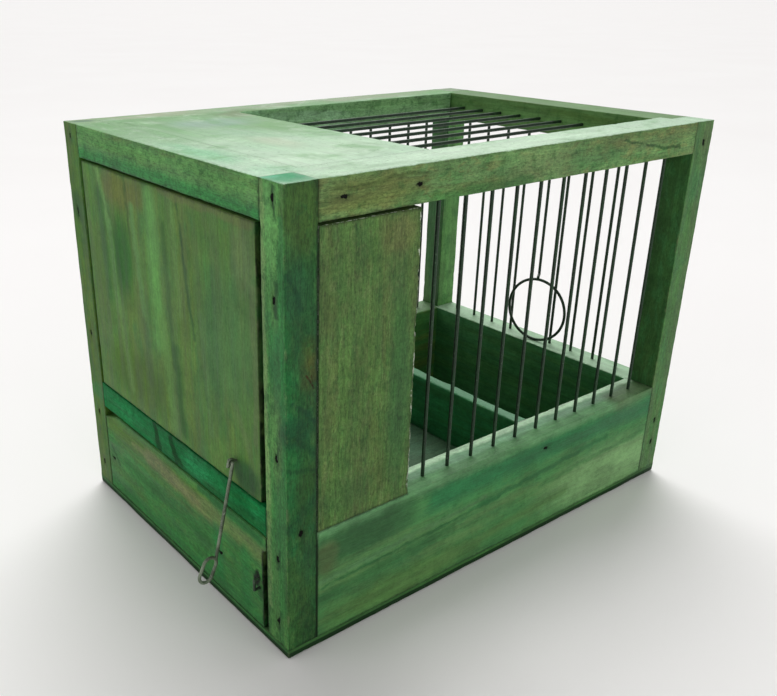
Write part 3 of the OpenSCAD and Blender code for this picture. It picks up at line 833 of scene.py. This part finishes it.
timber("post_front_right", "z", (80, 120, 70), (90, 120, 74), DEEP, 2.0,
       second_share=0.5, speckle=0.8, top="coat", blots=[(5.0, (66, 118, 74), 0.45)],
       # its left side darker: painted shade
       faces=[(0, -1, (52, 84, 48), 0.8)],
       patches=[((246, 0, 182), (6, 9, 7), (98, 118, 76), 0.6),
                ((243, 0, 160), (8, 9, 9), (64, 116, 72), 0.5)])
timber("post_back_left", "z", (71, 103, 42), (80, 104, 40), DEEP, 3.0,
       second_share=0.6, top="coat", mottle=0.45, blots=[(6.0, (58, 100, 56), 0.5)],
       patches=[((0, 167, 57), (9, 8, 5), (36, 106, 60), 0.65),
                ((0, 168, 152), (9, 8, 7), (50, 80, 48), 0.7)],
       tops=[((7, 168, 190), (5.5, 3.6, 9), (70, 108, 84), 0.75)])
timber("post_back_right", "z", (84, 124, 74), (92, 126, 76), DEEP, 4.0,
       # a paler top, a darker left side and a lighter front side: painted light and shade
       second_share=0.5, top=(140, 160, 132),
       faces=[(0, -1, (56, 92, 58), 0.8), (1, -1, (108, 157, 94), 0.95)],
       blots=[(6.0, (66, 116, 72), 0.45)],
       patches=[((250, 168, 130), (9, 9, 22), TEAL, 0.45),
                ((243, 174, 60), (9, 9, 26), (100, 122, 72), 0.5)])

# top frame
timber("top_rail_front", "x", (108, 138, 90), (110, 124, 78), DEEP, 5.0,
       second_share=0.45, dark_share=0.35, top="coat", chips=0.9, speckle=1.0, mottle=0.45,
       blots=[(5.0, (76, 124, 72), 0.5), (4.0, (128, 122, 80), 0.5)],
       patches=[((108, 0, 184), (8, 9, 5), (74, 122, 76), 0.5),
                ((128, 0, 183), (26, 9, 8), (122, 144, 98), 0.6),
                ((36, 0, 183), (24, 9, 8), (106, 112, 66), 0.75),
                ((160, 0, 182), (20, 9, 5), (84, 126, 80), 0.5)],
       strokes=[((68, 0, 176.5), (120, 0, 177), 2.6, (66, 112, 62), 0.7),
                ((22, 0, 186), (64, 0, 187), 0.8, (70, 82, 46), 0.6, 1.3),
                ((180, 0, 187), (206, 0, 181), 0.7, (50, 80, 48), 0.8),
                ((206, 0, 181), (224, 0, 180), 0.9, (50, 80, 48), 0.8)],
       tops=[((44, 6, 190), (14, 3, 9), (150, 186, 148), 0.5)])
timber("top_rail_back", "x", (146, 184, 146), (124, 166, 116), DEEP, 6.0, mottle=0.5,
       top="coat", blots=[(6.0, (98, 142, 92), 0.5)], speckle=0.8,
       patches=[((196, 154, 183), (44, 6, 14), (102, 138, 90), 0.65)])
timber("top_rail_left", "y", (92, 138, 80), (100, 130, 74), DEEP, 7.0,
       second_share=0.5, mottle=0.55, speckle=1.0, top="coat",
       shape=narrower_ends, more=CUT_LINES,
       blots=[(4.0, (76, 126, 74), 0.45)],
       strokes=[((0, 15, 177), (0, 160, 177), 4.4, (46, 118, 66), 0.85, 1.2),
                ((0, 24, 190), (0, 90, 189.6), 0.8, (60, 106, 60), 0.6, 1.4)])
timber("top_rail_right", "y", (97, 129, 82), (92, 120, 70), DEEP, 8.0, speckle=0.3,
       # its paler top: painted light from above
       top=(122, 153, 112), gloss=0.06, blots=[(6.0, (86, 120, 72), 0.35)],
       shape=narrower_ends, more=CUT_LINES)
timber("roof_board", "y", (150, 182, 144), (142, 176, 140), (128, 158, 126), 9.0,
       # its underside darker than its pale sides: painted shade under the roof
       top="coat", speckle=0.2, mottle=0.2, faces=[(2, -1, DEEP, 0.9)], pitch=(2.2, 2.2, 2.5))

# lower boards, divider and crossbar
timber("lower_board_front", "x", (78, 130, 80), (96, 132, 84), DEEP, 10.0,
       second_share=0.45, dark_share=0.2, broad=1.6, mottle=0.2, speckle=0.4, fibre=0.75,
       blots=[(8.0, (58, 110, 74), 0.4), (5.0, (96, 124, 78), 0.3)],
       patches=[((205, 0, 16), (52, 9, 15), (132, 168, 118), 0.9),
                ((60, 0, 10), (46, 9, 8), (92, 122, 70), 0.7),
                ((40, 0, 44), (28, 9, 9), (52, 88, 62), 0.6),
                ((19, 0, 41), (6, 9, 7), (114, 108, 76), 0.75)],
       strokes=[((80, 0, 46), (236, 0, 45), 8.0, (48, 112, 74), 0.9, 1.3),
                ((14, 0, 40), (60, 0, 46), 7.0, (56, 92, 60), 0.6, 1.3),
                ((14, 0, 30), (110, 0, 34), 1.6, (88, 126, 88), 0.7, 1.4),
                ((14, 0, 27), (120, 0, 31), 1.0, (48, 96, 60), 0.75, 1.4),
                ((100, 0, 31), (200, 0, 37), 1.4, (46, 102, 64), 0.7, 1.4),
                ((14, 0, 22), (90, 0, 26), 3.0, (56, 98, 62), 0.6, 1.4),
                ((60, 0, 10), (170, 0, 16), 3.0, (92, 126, 76), 0.7, 1.4),
                ((150, 0, 26), (232, 0, 30), 1.6, (64, 112, 68), 0.6, 1.4),
                # the dark line along the seam by the post is painted shade in the gap
                ((14.2, 0, 4), (14.2, 0, 54), 0.5, (14, 38, 18), 0.9, 1.3),
                # the lip on top: painted light from above, palest along its back; the front
                # strip is less pale, in the painted shadow of the front rail, and darker still
                # by the right post
                ((14, 9.0, 54.5), (222, 9.0, 54.5), 3.6, (129, 164, 138), 0.9, 1.2),
                ((14, 14.6, 54.5), (236, 14.6, 54.5), 3.0, (196, 222, 196), 1.0, 0.9),
                ((14, 2.2, 54.5), (216, 2.2, 54.5), 4.2, (104, 146, 106), 0.95, 1.2),
                ((210, 4, 54.5), (236, 6, 54.5), 7.0, (92, 112, 82), 0.9, 1.2)])
# its paler top: painted light from above
timber("lower_board_back", "x", GREEN, OLIVE, DEEP, 11.0, top=(120, 150, 112),
       second_share=0.45, blots=[(8.0, (56, 108, 66), 0.45)],
       patches=[((190, 174, 20), (40, 9, 16), (104, 128, 76), 0.6),
                ((60, 174, 40), (50, 9, 10), TEAL, 0.45)],
       strokes=[((20, 174, 30), (150, 174, 24), 1.4, (50, 92, 52), 0.6, 1.4),
                ((110, 174, 44), (230, 174, 40), 1.2, (94, 124, 74), 0.6, 1.4)])
timber("lower_board_right", "y", (70, 116, 80), (74, 114, 74), DEEP, 12.0,
       # its pale top: painted light from above
       top=(166, 196, 166), faces=[(0, 1, (76, 122, 70), 0.8)], mottle=0.3, shade=1.25,
       blots=[(8.0, (58, 108, 66), 0.35)],
       patches=[((250, 120, 14), (9, 40, 12), (104, 134, 84), 0.6),
                ((250, 60, 44), (9, 40, 9), TEAL, 0.45)],
       strokes=[((250, 20, 28), (250, 110, 32), 1.4, (52, 96, 54), 0.6, 1.4),
                ((250, 90, 38), (250, 160, 40), 1.2, (98, 128, 78), 0.6, 1.4)])
timber("divider", "y", (58, 122, 86), (60, 114, 76), DEEP, 13.0, wear=1.7,
       # its pale top and the paler patch on it: painted highlight of the light from above
       top=(102, 148, 116), shade=1.3,
       tops=[((150, 150, 54), (12, 46, 40), (132, 178, 142), 0.8)])
timber("crossbar", "y", (29, 110, 64), (36, 108, 64), (20, 84, 48), 14.0,
       second_share=0.4, speckle=0.7, mottle=0.5, gloss=0.05,
       blots=[(5.0, (46, 130, 84), 0.35)],
       patches=[((0, 134, 57), (9, 16, 4), (38, 124, 76), 0.75),
                ((0, 66, 57), (9, 13, 5), (46, 128, 84), 0.75),
                ((0, 102, 55), (9, 3.0, 4), (22, 84, 52), 0.8),
                ((0, 85, 55), (9, 2.8, 4), (22, 84, 52), 0.8)],
       strokes=[((0, 104.5, 61.5), (0, 101, 52.5), 2.3, (6, 64, 34), 0.95),
                ((0, 89, 62), (0, 85, 52.5), 2.1, (4, 62, 34), 0.95),
                ((0, 87, 55), (0, 81, 52.5), 1.8, (6, 66, 34), 0.85),
                ((0, 17, 53), (0, 60, 52), 2.2, (42, 96, 56), 0.6, 1.3),
                ((0, 20, 60), (0, 44, 58), 1.4, (36, 92, 52), 0.6, 1.3)])

# closing boards
timber("front_panel", "z", (84, 112, 63), (94, 112, 66), (54, 88, 50), 15.0,
       second_share=0.5, dark_share=0.4, pitch=(1.6, 1.6, 0.7), wear=0.5, chips=1.0,
       speckle=1.05, fibre=1.3, mottle=0.4, torn=0.95, shape=torn_side,
       blots=[(4.0, (70, 106, 62), 0.4), (2.4, (112, 120, 82), 0.35)],
       patches=[((51, 0, 166), (8, 9, 8), (108, 110, 70), 0.75),
                ((54, 0, 105), (6, 9, 44), (58, 106, 62), 0.6),
                ((28, 0, 66), (14, 9, 8), (62, 92, 56), 0.5)],
       # the dark line along the seam by the post is painted shade in the gap
       strokes=[((14.2, 0, 54), (14.2, 0, 176), 0.45, (20, 44, 20), 0.85, 1.3)])
timber("back_panel", "z", GREEN, OLIVE, DEEP, 16.0, second_share=0.4, fibre=1.2,
       blots=[(5.0, (64, 110, 66), 0.5)],
       patches=[((40, 174, 150), (16, 9, 22), (92, 116, 66), 0.6),
                ((28, 174, 90), (12, 9, 26), TEAL, 0.35)],
       strokes=[((48, 174, 170), (46, 174, 90), 1.4, (54, 90, 50), 0.6, 1.4),
                ((24, 174, 160), (26, 174, 70), 1.8, (94, 124, 72), 0.5, 1.4)])
timber("door_panel", "z", (80, 114, 58), (89, 112, 56), (60, 96, 50), 17.0,
       second_share=0.45, dark_share=0.35, broad=1.6, mottle=0.2, fibre=0.55, speckle=0.5,
       # its front edge, in the narrow gap by the post, near black: painted shade
       faces=[(1, -1, (8, 20, 6), 1.0)],
       blots=[(9.0, (62, 108, 60), 0.55), (6.0, (94, 114, 62), 0.4)],
       patches=[((0, 122, 167), (9, 18, 8), (100, 102, 56), 0.8),
                ((0, 104, 168), (9, 8, 7), (100, 104, 58), 0.6),
                ((0, 123, 138), (9, 11, 20), (38, 90, 38), 0.9),
                ((0, 147, 120), (9, 9, 28), (86, 112, 54), 0.6),
                ((0, 27, 71), (9, 11, 7), (44, 80, 48), 0.9),
                ((0, 38, 125), (9, 18, 30), (68, 106, 70), 0.6),
                ((0, 26, 160), (9, 8, 14), (98, 112, 80), 0.55),
                ((0, 118, 82), (9, 32, 15), (66, 94, 22), 0.65)],
       strokes=[((0, 142, 174), (0, 134, 148), 2.2, (104, 142, 84), 0.8, 1.4),
                ((0, 134, 150), (0, 131, 110), 3.0, (88, 132, 74), 0.75, 1.4),
                ((0, 131, 112), (0, 124, 74), 3.2, (94, 124, 68), 0.7, 1.4),
                ((0, 142, 162), (0, 139, 116), 4.2, (54, 96, 50), 0.8, 1.3),
                ((0, 116, 174), (0, 114, 146), 1.2, (54, 80, 46), 0.65, 1.5),
                ((0, 111, 162), (0, 106, 116), 2.4, (92, 134, 78), 0.75, 1.4),
                ((0, 94, 168), (0, 92, 108), 5.8, (94, 142, 78), 0.95, 1.3),
                ((0, 90, 118), (0, 84, 70), 4.0, (92, 128, 70), 0.8, 1.4),
                ((0, 83, 160), (0, 81, 100), 2.0, (56, 90, 46), 0.75, 1.4),
                ((0, 71.5, 174), (0, 68, 150), 1.0, (50, 80, 46), 0.85, 1.4),
                ((0, 68, 150), (0, 62, 118), 1.3, (54, 86, 52), 0.8, 1.4),
                ((0, 76, 172), (0, 73, 126), 2.4, (94, 122, 72), 0.7, 1.4),
                ((0, 79, 108), (0, 76, 70), 3.0, (50, 88, 44), 0.85, 1.3),
                ((0, 106, 112), (0, 104, 84), 2.8, (66, 90, 52), 0.5, 1.5),
                ((0, 48, 150), (0, 46, 84), 3.4, (60, 100, 58), 0.5, 1.5),
                ((0, 56, 130), (0, 52, 80), 1.6, (86, 118, 76), 0.5, 1.5),
                ((0, 33, 100), (0, 24, 82), 2.0, (90, 104, 70), 0.5, 1.5),
                ((0, 85, 174), (0, 20, 173), 2.2, (98, 100, 66), 0.6),
                ((0, 19, 150), (0, 19, 90), 2.2, (94, 108, 72), 0.6)])
timber("door_stop", "y", DEEP, DEEP, DARK, 18.0)
timber("runner_front", "x", DEEP, OLIVE, DARK, 19.0)
timber("runner_back", "x", DEEP, OLIVE, DARK, 20.0)
timber("base_board", "x", (64, 100, 64), (74, 104, 70), DARK, 21.0, pitch=(3.0, 3.0, 2.0),
       mottle=0.3, dirt=0.0,
       # dark right and back sides, and a dark band along the bottom of the front and left:
       # painted shadow under the cage
       faces=[(0, 1, (25, 54, 31), 0.95), (1, 1, (25, 54, 31), 0.95),
              (0, -1, (54, 104, 56), 0.9), (1, -1, (66, 108, 60), 0.9)],
       strokes=[((0, 0, z), end, 0.6, (22, 48, 26), 1.0, 1.0)
                for z in (0.4, 1.2, 2.0) for end in ((250, 0, z), (0, 174, z))])

# drawer
timber("drawer_front", "y", (62, 120, 64), (68, 118, 66), (40, 94, 50), 22.0,
       shape=drawer_outline, second_share=0.4, broad=1.4, mottle=0.3, speckle=0.7,
       # its front end, in the gap by the post, near black: painted shade
       faces=[(1, -1, (10, 26, 14), 1.0)],
       blots=[(6.0, (44, 100, 58), 0.45), (4.0, (84, 112, 62), 0.35)],
       strokes=[((0, 155, 43.5), (0, 60, 40.5), 5.6, (79, 109, 45), 0.95, 1.2),
                ((0, 114, 41.5), (0, 50, 38), 4.2, (124, 124, 88), 0.85, 1.4),
                ((0, 62, 39.6), (0, 16, 40), 4.4, (104, 123, 76), 0.9, 1.2),
                ((0, 130, 42), (0, 96, 40), 1.8, (110, 120, 76), 0.75, 1.3),
                ((0, 150, 36), (0, 70, 31), 2.0, (78, 110, 60), 0.7, 1.3),
                ((0, 66, 47.5), (0, 18, 47), 2.4, (36, 86, 50), 0.75, 1.3),
                ((0, 140, 27), (0, 60, 23), 3.0, (46, 98, 52), 0.7, 1.3),
                ((0, 162, 20), (0, 120, 14), 3.0, (74, 106, 60), 0.6, 1.4),
                ((0, 158, 8), (0, 20, 7), 4.0, (48, 114, 62), 0.65, 1.3),
                ((0, 52, 34), (0, 50, 12), 4.0, (40, 114, 64), 0.7, 1.4),
                ((0, 30, 34), (0, 30, 12), 4.0, (46, 116, 64), 0.7, 1.4),
                ((0, 155, 29), (0, 148, 22), 1.4, (36, 72, 42), 0.7, 1.4),
                # the near-black spot at the staple is painted shadow inside its loop
                ((0, 21.3, 28.6), (0, 21.8, 24.6), 2.0, (6, 12, 6), 0.97),
                # near black along the notch by the post: painted shade in the gap
                ((-0.6, 16.8, 6), (-0.6, 16.6, 41.6), 1.2, (6, 20, 9), 0.95, 1.2),
                ((4.4, 17.2, 6), (4.4, 17.2, 42.0), 3.3, (6, 18, 8), 0.97, 1.2)],
       # the first patch is painted shadow inside the staple's loop; the second darkens a spot
       # below it
       patches=[((0, 22, 26.5), (9, 2.6, 3.2), (12, 24, 12), 0.9),
                ((0, 19, 21), (9, 3.0, 3.4), (28, 60, 36), 0.7)])
timber("drawer_floor", "x", (90, 122, 100), (84, 112, 92), (62, 86, 70), 23.0,
       pitch=(3.0, 3.0, 2.0), fibre=0.5, blots=[(9.0, (98, 118, 98), 0.4)],
       strokes=[((20, 60, 12), (140, 66, 12), 3.0, (72, 96, 78), 0.5, 1.5),
                ((30, 120, 12), (120, 112, 12), 4.0, (104, 124, 104), 0.5, 1.5)])
timber("drawer_cleat", "y", DEEP, OLIVE, DARK, 24.0)


# ---------------------------------------------------------------- wire and nails

def metal(name, main, worn, dirty, seed, rough=(0.35, 0.6), shine=(0.75, 0.35), gloss=0.5):
    """Old metal: dull where it is dirty, with brighter rubbed places."""
    net = Net(name, seed)
    cloud = net.noise(9.0, 4.0, 0.65)
    fine = net.noise(0.9, 3.0, 0.6)
    colour = net.mix(net.span(cloud, 0.38, 0.62), srgb(main), srgb(dirty))
    colour = net.mix(net.span(fine, 0.55, 0.75, 0.0, 0.6), colour, srgb(worn))
    net.put(net.bsdf.inputs["Base Color"], colour)
    if shine:
        net.put(net.bsdf.inputs["Metallic"], net.sway(cloud, *shine))
    net.put(net.bsdf.inputs["Roughness"], net.sway(fine, *rough))
    net.put(net.bsdf.inputs["Specular IOR Level"], gloss)
    net.bump(fine, depth_m=0.0001, strength=0.4)
    return net.mat


wire_grey = metal("wire_grey", (40, 64, 44), (98, 120, 98), (24, 44, 28), 31.0)
hook_grey = metal("hook_grey", (122, 134, 114), (176, 184, 166), (72, 84, 66), 32.0)
staple_dark = metal("staple_dark", (72, 96, 72), (118, 136, 112), (30, 48, 32), 34.0,
                    shine=(0.35, 0.15))
nail_dark = metal("nail_dark", (14, 17, 12), (30, 32, 26), (7, 8, 6), 33.0,
                  rough=(0.75, 0.95), shine=None, gloss=0.1)

FINISHES = (("wires", wire_grey), ("feeder_ring", wire_grey), ("hook", hook_grey),
            ("staple", staple_dark), ("nails", nail_dark), ("pivots", nail_dark))
for name, obj in NODES.items():
    for kind, finish in FINISHES:
        if kind in name:
            for slot in obj.material_slots:
                slot.material = finish


# ---------------------------------------------------------------- floor

FLOOR_HALF_M, FLOOR_DROP_M = 60.0, 0.0003   # it lies just under the cage


def floor():
    """The plain pale floor."""
    half = FLOOR_HALF_M
    mesh = bpy.data.meshes.new("floor")
    mesh.from_pydata([(-half, -half, 0), (half, -half, 0), (half, half, 0), (-half, half, 0)],
                     [], [(0, 1, 2, 3)])
    obj = add_object("floor", mesh)
    obj.location.z = -FLOOR_DROP_M
    net = Net("floor_pale", 41.0)
    net.put(net.bsdf.inputs["Base Color"],
            net.mix(net.noise(240.0), srgb((244, 242, 241)), srgb((248, 247, 246))))
    net.put(net.bsdf.inputs["Roughness"], 0.9)
    mesh.materials.append(net.mat)


floor()
